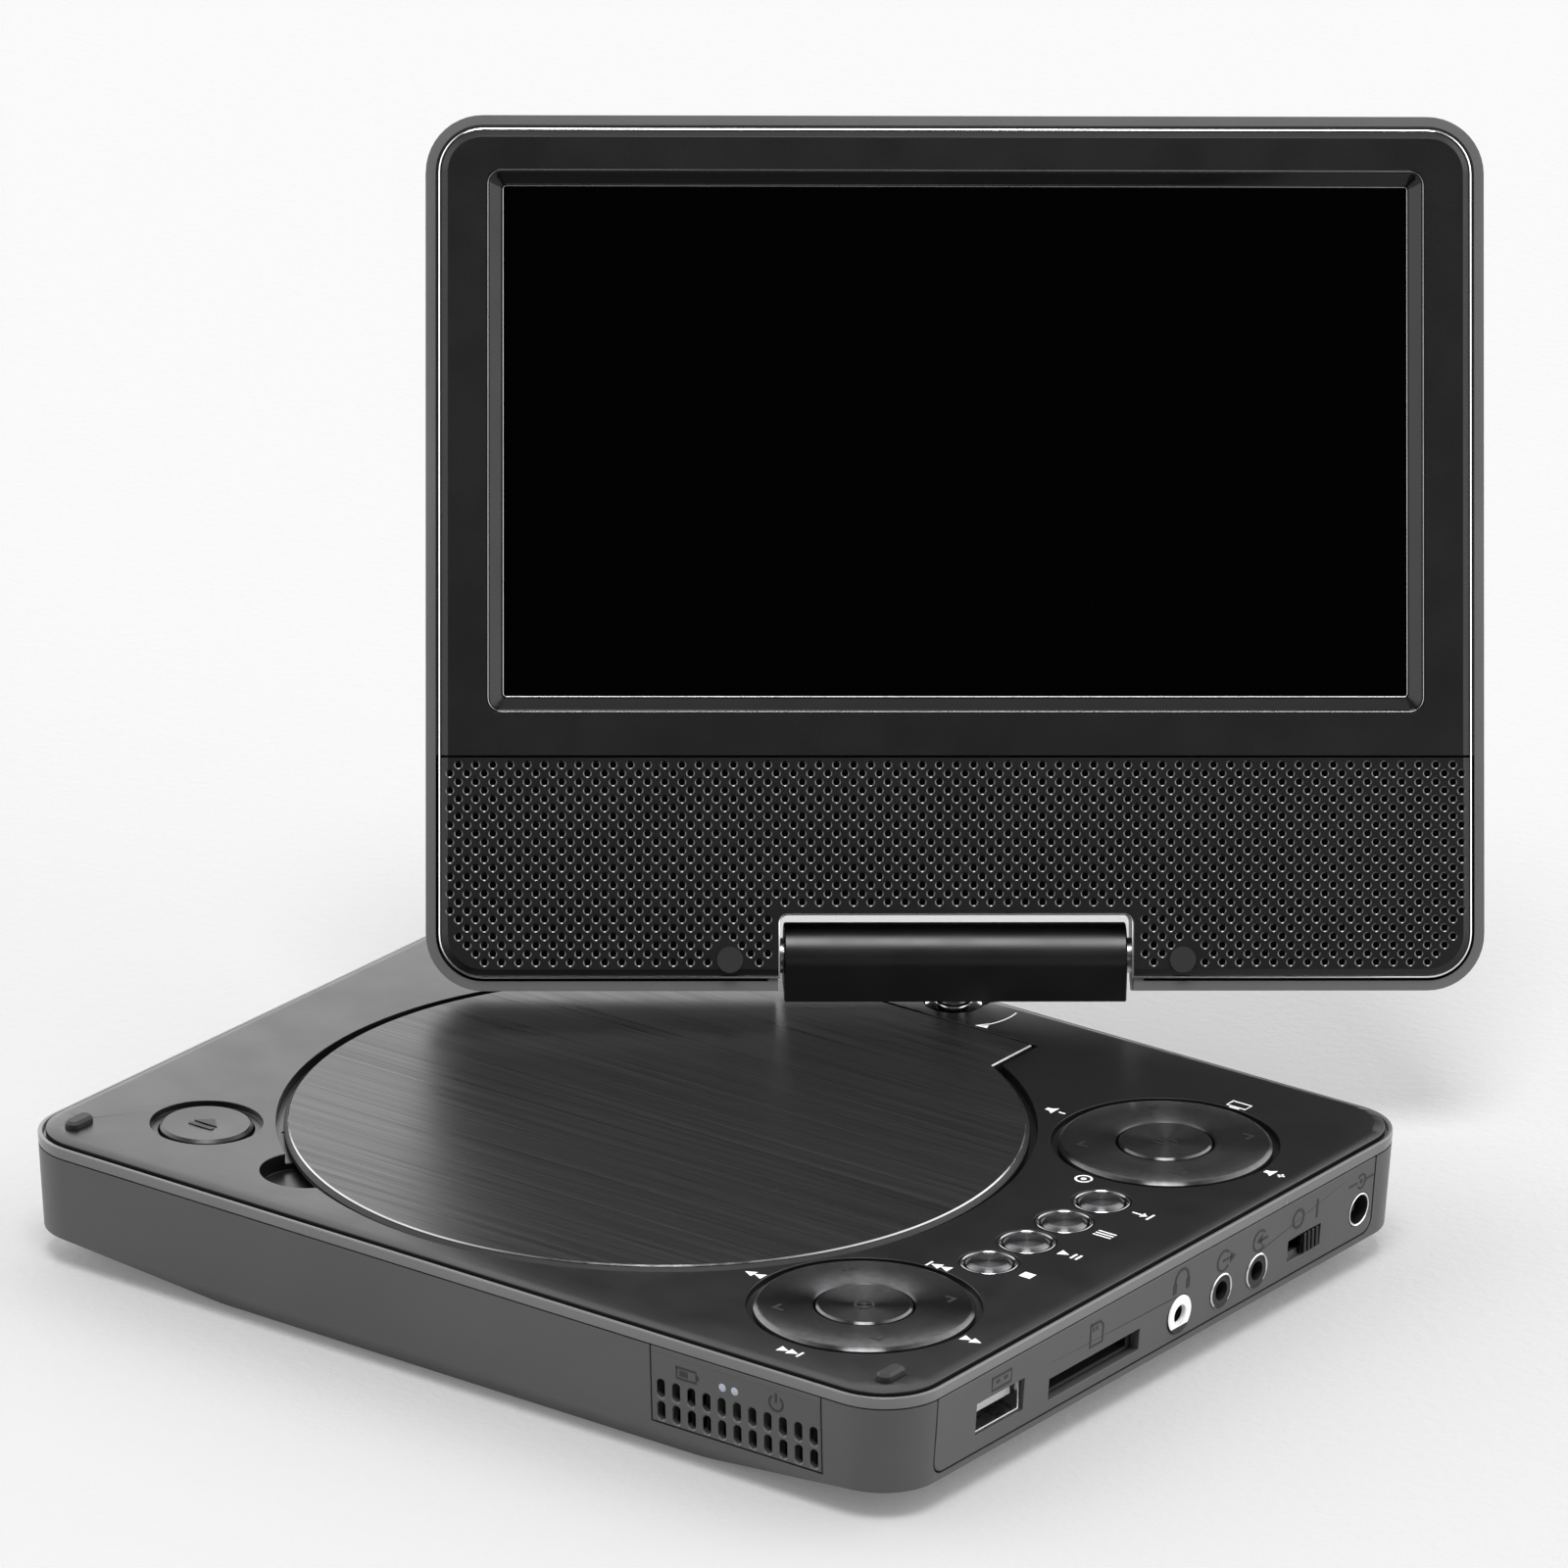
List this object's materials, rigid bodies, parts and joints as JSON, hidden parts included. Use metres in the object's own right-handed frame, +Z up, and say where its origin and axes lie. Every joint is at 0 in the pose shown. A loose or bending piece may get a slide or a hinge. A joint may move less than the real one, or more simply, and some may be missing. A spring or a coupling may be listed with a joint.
{
  "type": "portable dvd player",
  "caption": "Portable disc player with a top-loading base, button pads, side ports and a wide screen on a swivel-and-tilt hinge.",
  "frame": {"origin": "on the table under the centre of the base, 0.8 mm below the flat of the underside, which the rubber feet hold clear of the table", "axes": "+X to the right past the port panel, +Y to the rear where the screen's swivel stands, +Z up"},
  "size_m": [0.2098, 0.2593, 0.1791],
  "materials": {
    "dark_case": "fine matte",
    "deck_black": "satin",
    "gloss_black": "gloss",
    "screen_glass": "gloss",
    "spun_metal": "spun",
    "brushed_plate": "brushed",
    "inner_plastic": "matte",
    "light_plastic": "matte",
    "rubber": "matte",
    "steel": "plain",
    "light_guide": "moulded light guide and tray",
    "chrome": "polished",
    "board": "board",
    "cell": "aluminium-cased cells in a printed wrap",
    "lens": "clear"
  },
  "bodies": {
    "base": {"base_bottom_cover": "dark_case", "base_top_cover": "deck_black", "base_trim_frame": "dark_case", "port_panel": "dark_case", "front_vent": "dark_case", "rubber_feet": "rubber", "deck_bumpers": "rubber", "case_screws": "steel", "main_board": "board", "key_board": "board", "battery_cells": "cell", "usb_socket": "steel", "card_socket": "inner_plastic", "headphone_jack": "light_plastic", "av_out_jack": "inner_plastic", "av_in_jack": "inner_plastic", "power_switch_body": "inner_plastic", "dc_inlet": "inner_plastic", "drive_chassis": "steel", "damper_bushes": "rubber", "spindle_motor": "steel", "guide_rods": "steel", "sled_motor": "steel", "gear_spindle": "steel", "swivel_bearing_plate": "steel"},
    "lid": {"disc_lid": "inner_plastic", "lid_brushed_plate": "brushed_plate", "lid_hinge_pins": "steel"},
    "open_key": {"open_button": "gloss_black"},
    "latch": {"lid_latch": "inner_plastic"},
    "rear_ring": {"rear_pad_ring": "spun_metal"},
    "rear_centre": {"rear_pad_button": "gloss_black"},
    "front_ring": {"front_pad_ring": "spun_metal"},
    "front_centre": {"front_pad_button": "gloss_black"},
    "display_key": {"display_button": "gloss_black"},
    "source_key": {"source_button": "gloss_black"},
    "input_key": {"input_button": "gloss_black"},
    "setup_key": {"setup_button": "gloss_black"},
    "power_knob": {"power_switch_knob": "gloss_black"},
    "spindle": {"spindle_hub": "steel"},
    "sled": {"pickup_sled": "inner_plastic", "pickup_lens": "lens"},
    "gear": {"drive_gear": "inner_plastic"},
    "swivel": {"swivel_post": "chrome", "swivel_nut": "steel", "hinge_housing_front": "dark_case", "hinge_housing_rear": "dark_case", "hinge_bracket": "steel", "friction_sleeves": "steel"},
    "screen": {"screen_rear_cover": "dark_case", "screen_screws": "steel", "screen_bezel": "deck_black", "speaker_grille": "deck_black", "display_ring": "gloss_black", "lcd_panel": "screen_glass", "backlight_frame": "light_guide", "screen_board": "board", "speakers": "steel", "grille_pads": "rubber", "tilt_shafts": "steel"}
  },
  "joints": [
    {"name": "screen_swivel", "type": "hinge", "parent": "base", "child": "swivel", "pos_m": [0, 0.0732, 0.0337], "axis": [0, 0, 1], "range_deg": [-38.3, 141.7]},
    {"name": "screen_tilt", "type": "hinge", "parent": "swivel", "child": "screen", "pos_m": [0, 0.0732, 0.0337], "axis": [0.7848, 0.6198, 0], "range_deg": [-68.5, 111.5]},
    {"name": "lid_hinge", "type": "hinge", "parent": "base", "child": "lid", "pos_m": [-0.0094, 0.0615, 0.0206], "axis": [-1, 0, 0], "range_deg": [0, 1.8]},
    {"name": "open_press", "type": "slide", "parent": "base", "child": "open_key", "axis": [0, 0, -1], "range_m": [0, 0.001], "stiffness_N_per_m": 500},
    {"name": "latch_slide", "type": "slide", "parent": "base", "child": "latch", "axis": [-0.7758, -0.631, 0], "range_m": [0, 0.001]},
    {"name": "rear_centre_press", "type": "slide", "parent": "base", "child": "rear_centre", "axis": [0, 0, -1], "range_m": [0, 0.0006], "stiffness_N_per_m": 400},
    {"name": "front_centre_press", "type": "slide", "parent": "base", "child": "front_centre", "axis": [0, 0, -1], "range_m": [0, 0.0006], "stiffness_N_per_m": 400},
    {"name": "rear_ring_rock", "type": "hinge", "parent": "base", "child": "rear_ring", "pos_m": [0.0686, 0.0423, 0.0239], "axis": [1, 0, 0], "range_deg": [-1.4, 1.4], "stiffness_Nm_per_rad": 0.08},
    {"name": "front_ring_rock", "type": "hinge", "parent": "base", "child": "front_ring", "pos_m": [0.0686, -0.0496, 0.0239], "axis": [1, 0, 0], "range_deg": [-1.4, 1.4], "stiffness_Nm_per_rad": 0.08},
    {"name": "display_press", "type": "slide", "parent": "base", "child": "display_key", "axis": [0, 0, -1], "range_m": [0, 0.0006], "stiffness_N_per_m": 400},
    {"name": "source_press", "type": "slide", "parent": "base", "child": "source_key", "axis": [0, 0, -1], "range_m": [0, 0.0006], "stiffness_N_per_m": 400},
    {"name": "input_press", "type": "slide", "parent": "base", "child": "input_key", "axis": [0, 0, -1], "range_m": [0, 0.0006], "stiffness_N_per_m": 400},
    {"name": "setup_press", "type": "slide", "parent": "base", "child": "setup_key", "axis": [0, 0, -1], "range_m": [0, 0.0006], "stiffness_N_per_m": 400},
    {"name": "power_slide", "type": "slide", "parent": "base", "child": "power_knob", "axis": [0, -1, 0], "range_m": [0, 0.0038]},
    {"name": "spindle_spin", "type": "hinge", "parent": "base", "child": "spindle", "pos_m": [-0.0094, -0.0054, 0.0155], "axis": [0, 0, 1], "continuous": true},
    {"name": "sled_slide", "type": "slide", "parent": "base", "child": "sled", "axis": [0, -1, 0], "range_m": [0, 0.034]},
    {"name": "gear_spin", "type": "hinge", "parent": "base", "child": "gear", "pos_m": [0.022, -0.0126, 0.0104], "axis": [0, 0, 1], "range_deg": [-5, 340]}
  ],
  "couplings": [
    {"joint": "latch_slide", "follows": "open_press", "ratio": 1},
    {"joint": "gear_spin", "follows": "sled_slide", "rad_per_m": 166.67}
  ]
}
